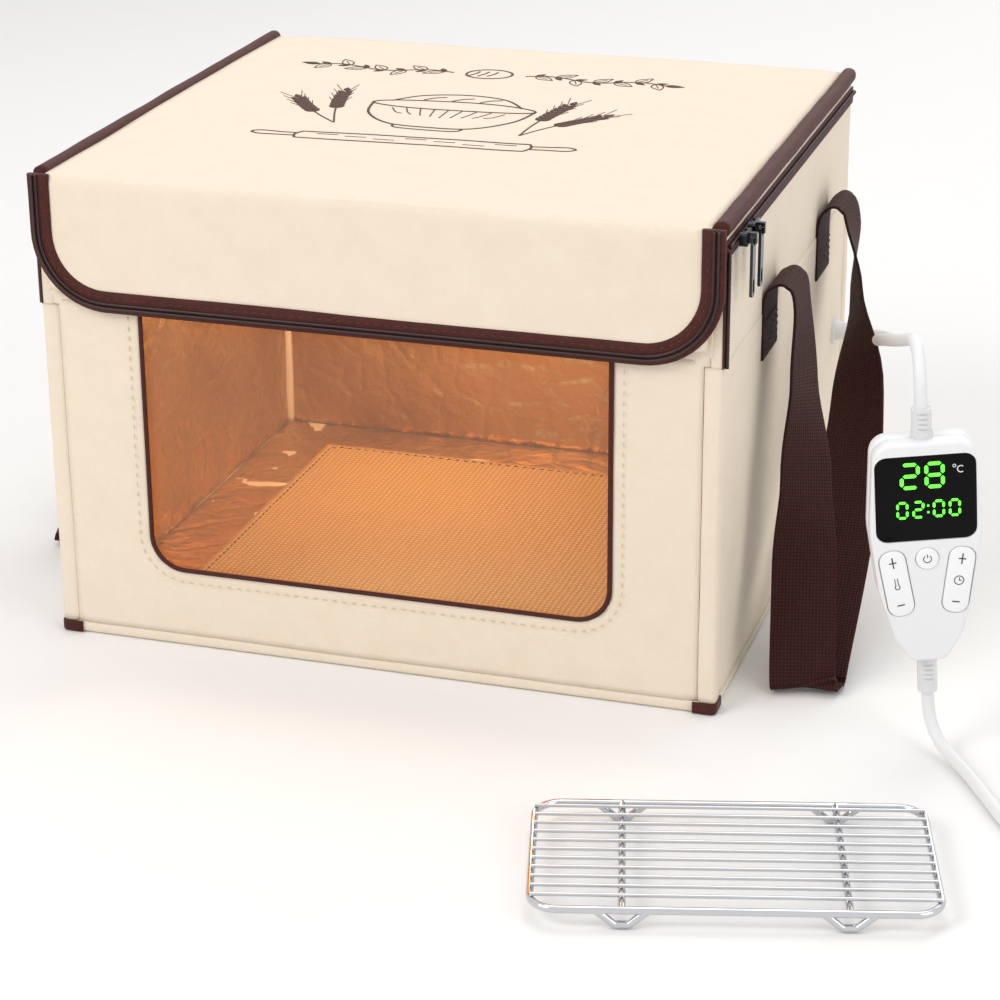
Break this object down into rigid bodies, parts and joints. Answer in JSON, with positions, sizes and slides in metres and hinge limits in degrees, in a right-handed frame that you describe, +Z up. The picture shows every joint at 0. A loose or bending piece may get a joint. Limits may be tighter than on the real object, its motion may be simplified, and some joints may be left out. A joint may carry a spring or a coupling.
{
  "type": "folding dough proofer",
  "caption": "Soft-sided folding proofing cabinet with a windowed front, zipped lid and flap, heating mat, wired handset, carrying straps and a wire rack.",
  "frame": {"origin": "centre of the base's underside", "axes": "+Z up, front towards -Y, +X to the right seen from the front"},
  "size_m": [0.7966, 0.6084, 0.2876],
  "materials": {
    "cream_fabric": "woven, matte",
    "foil": "crinkled foil",
    "foil_wadding": "metallised film quilted on wadding",
    "window_film": "clear film",
    "brown_trim": "ribbed webbing and tape",
    "zipper_coil": "moulded coil",
    "gunmetal": "polished dark metal",
    "white_plastic": "satin",
    "button_rubber": "satin",
    "display_glass": "gloss",
    "board": "solder mask",
    "rack_chrome": "polished",
    "brass": "plated",
    "steel": "drawn",
    "mat_cloth": "woven",
    "stiffener": "board"
  },
  "bodies": {
    "base": {"base_cover": "cream_fabric", "base_board": "stiffener", "base_liner": "foil", "corner_caps": "brown_trim", "mat_sheets": "mat_cloth", "heating_wire": "steel", "temp_sensor": "steel", "cord_upper": "white_plastic", "cord_lower": "white_plastic", "cord_coil": "white_plastic", "plug_body": "white_plastic", "plug_pins": "brass", "handset_front": "white_plastic", "handset_back": "white_plastic", "display_lens": "display_glass", "circuit_board": "board", "cord_reliefs": "white_plastic"},
    "right_lower_half": {"right_lower_panel": "cream_fabric", "right_lower_liner": "foil", "right_lower_sleeves": "cream_fabric"},
    "right_upper_half": {"right_upper_panel": "cream_fabric", "right_upper_liner": "foil", "right_upper_sleeves": "cream_fabric", "lead_gland": "white_plastic"},
    "left_lower_half": {"left_lower_panel": "cream_fabric", "left_lower_liner": "foil", "left_lower_sleeves": "cream_fabric"},
    "left_upper_half": {"left_upper_panel": "cream_fabric", "left_upper_liner": "foil", "left_upper_sleeves": "cream_fabric"},
    "front_lower_half": {"front_lower_panel": "cream_fabric", "window_lower_film": "window_film"},
    "front_upper_half": {"front_upper_panel": "cream_fabric", "window_upper_film": "window_film"},
    "back_lower_half": {"back_lower_panel": "cream_fabric", "back_lower_liner": "foil"},
    "back_upper_half": {"back_upper_panel": "cream_fabric", "back_upper_liner": "foil"},
    "upper_band": {"top_band": "cream_fabric", "front_rim": "cream_fabric", "zipper_tapes": "brown_trim", "zipper_coils": "zipper_coil"},
    "lid": {"lid_panel": "cream_fabric", "lid_liner": "foil_wadding", "lid_binding": "brown_trim"},
    "flap": {"flap_panel": "cream_fabric", "flap_binding": "brown_trim"},
    "right_rear_zipper": {"right_rear_slider": "gunmetal"},
    "right_rear_tab": {"right_rear_pull": "gunmetal"},
    "right_front_zipper": {"right_front_slider": "gunmetal"},
    "right_front_tab": {"right_front_pull": "gunmetal"},
    "left_zipper": {"left_slider": "gunmetal"},
    "left_tab": {"left_pull": "gunmetal"},
    "right_handle": {"right_strap": "brown_trim"},
    "left_handle": {"left_strap": "brown_trim"},
    "power_key": {"power_button": "button_rubber"},
    "temp_key": {"temp_rocker": "button_rubber"},
    "timer_key": {"timer_rocker": "button_rubber"},
    "rack": {"rack_frame": "rack_chrome", "rack_wires": "rack_chrome"}
  },
  "joints": [
    {"name": "collapse", "type": "hinge", "parent": "base", "child": "right_lower_half", "pos_m": [0.194, 0, 0.0074], "axis": [0, -1, 0], "range_deg": [0, 82], "deforming": ["back_lower_liner", "back_lower_panel", "back_upper_liner", "back_upper_panel", "front_lower_panel", "front_upper_panel", "window_lower_film", "window_upper_film", "cord_upper", "lead_gland", "right_strap", "left_strap"]},
    {"name": "right_crease", "type": "hinge", "parent": "right_lower_half", "child": "right_upper_half", "pos_m": [0.201, 0, 0.1065], "axis": [0, 1, 0], "range_deg": [0, 164]},
    {"name": "band_level", "type": "hinge", "parent": "right_upper_half", "child": "upper_band", "pos_m": [0.194, 0, 0.2056], "axis": [0, -1, 0], "range_deg": [0, 82]},
    {"name": "left_fold", "type": "hinge", "parent": "base", "child": "left_lower_half", "pos_m": [-0.194, 0, 0.0074], "axis": [0, 1, 0], "range_deg": [0, 82]},
    {"name": "left_crease", "type": "hinge", "parent": "left_lower_half", "child": "left_upper_half", "pos_m": [-0.201, 0, 0.1065], "axis": [0, -1, 0], "range_deg": [0, 164]},
    {"name": "front_fold", "type": "hinge", "parent": "base", "child": "front_lower_half", "pos_m": [0, -0.174, 0.0074], "axis": [-1, 0, 0], "range_deg": [0, 82]},
    {"name": "front_crease", "type": "hinge", "parent": "front_lower_half", "child": "front_upper_half", "pos_m": [0, -0.1802, 0.1065], "axis": [1, 0, 0], "range_deg": [0, 164]},
    {"name": "back_fold", "type": "hinge", "parent": "base", "child": "back_lower_half", "pos_m": [0, 0.174, 0.0074], "axis": [1, 0, 0], "range_deg": [0, 82]},
    {"name": "back_crease", "type": "hinge", "parent": "back_lower_half", "child": "back_upper_half", "pos_m": [0, 0.1802, 0.1065], "axis": [-1, 0, 0], "range_deg": [0, 164]},
    {"name": "lid_hinge", "type": "hinge", "parent": "upper_band", "child": "lid", "pos_m": [0, 0.1804, 0.2778], "axis": [-1, 0, 0], "range_deg": [0, 110]},
    {"name": "flap_hinge", "type": "hinge", "parent": "lid", "child": "flap", "pos_m": [0, -0.1804, 0.286], "axis": [-1, 0, 0], "range_deg": [0, 100]},
    {"name": "right_rear_zip", "type": "slide", "parent": "upper_band", "child": "right_rear_zipper", "axis": [0, 1, 0], "range_m": [0, 0.298]},
    {"name": "right_rear_tab_swing", "type": "hinge", "parent": "right_rear_zipper", "child": "right_rear_tab", "pos_m": [0.21025, -0.136, 0.2736], "axis": [0, -1, 0], "range_deg": [0, 120]},
    {"name": "right_front_zip", "type": "slide", "parent": "upper_band", "child": "right_front_zipper", "axis": [0, 1, 0], "range_m": [-0.012, 0]},
    {"name": "right_front_tab_swing", "type": "hinge", "parent": "right_front_zipper", "child": "right_front_tab", "pos_m": [0.21025, -0.156, 0.2736], "axis": [0, -1, 0], "range_deg": [0, 120]},
    {"name": "left_zip", "type": "slide", "parent": "upper_band", "child": "left_zipper", "axis": [0, 1, 0], "range_m": [0, 0.326]},
    {"name": "left_tab_swing", "type": "hinge", "parent": "left_zipper", "child": "left_tab", "pos_m": [-0.21025, -0.164, 0.2736], "axis": [0, 1, 0], "range_deg": [0, 120]},
    {"name": "right_handle_swing", "type": "hinge", "parent": "upper_band", "child": "right_handle", "pos_m": [0.2013, 0, 0.202], "axis": [0, -1, 0], "range_deg": [0, 60]},
    {"name": "left_handle_swing", "type": "hinge", "parent": "upper_band", "child": "left_handle", "pos_m": [-0.2013, 0, 0.202], "axis": [0, 1, 0], "range_deg": [0, 140]},
    {"name": "power_press", "type": "slide", "parent": "base", "child": "power_key", "axis": [-0.3024, 0.9532, 0], "range_m": [0, 0.0008], "stiffness_N_per_m": 400},
    {"name": "temp_rock", "type": "hinge", "parent": "base", "child": "temp_key", "pos_m": [0.3021, -0.19822, 0.10239], "axis": [0.9509, 0.3016, 0.0698], "range_deg": [-2.5, 2.5], "stiffness_Nm_per_rad": 0.05},
    {"name": "timer_rock", "type": "hinge", "parent": "base", "child": "timer_key", "pos_m": [0.33348, -0.18826, 0.10469], "axis": [0.9509, 0.3016, 0.0698], "range_deg": [-2.5, 2.5], "stiffness_Nm_per_rad": 0.05},
    {"name": "rack_lift", "type": "slide", "parent": "base", "child": "rack", "axis": [0, 0, 1], "range_m": [0, 0.1]}
  ],
  "couplings": [
    {"joint": "right_crease", "follows": "collapse", "ratio": 2},
    {"joint": "band_level", "follows": "collapse", "ratio": 1},
    {"joint": "left_fold", "follows": "collapse", "ratio": 1},
    {"joint": "left_crease", "follows": "collapse", "ratio": 2},
    {"joint": "front_fold", "follows": "collapse", "ratio": 1},
    {"joint": "front_crease", "follows": "collapse", "ratio": 2},
    {"joint": "back_fold", "follows": "collapse", "ratio": 1},
    {"joint": "back_crease", "follows": "collapse", "ratio": 2}
  ]
}
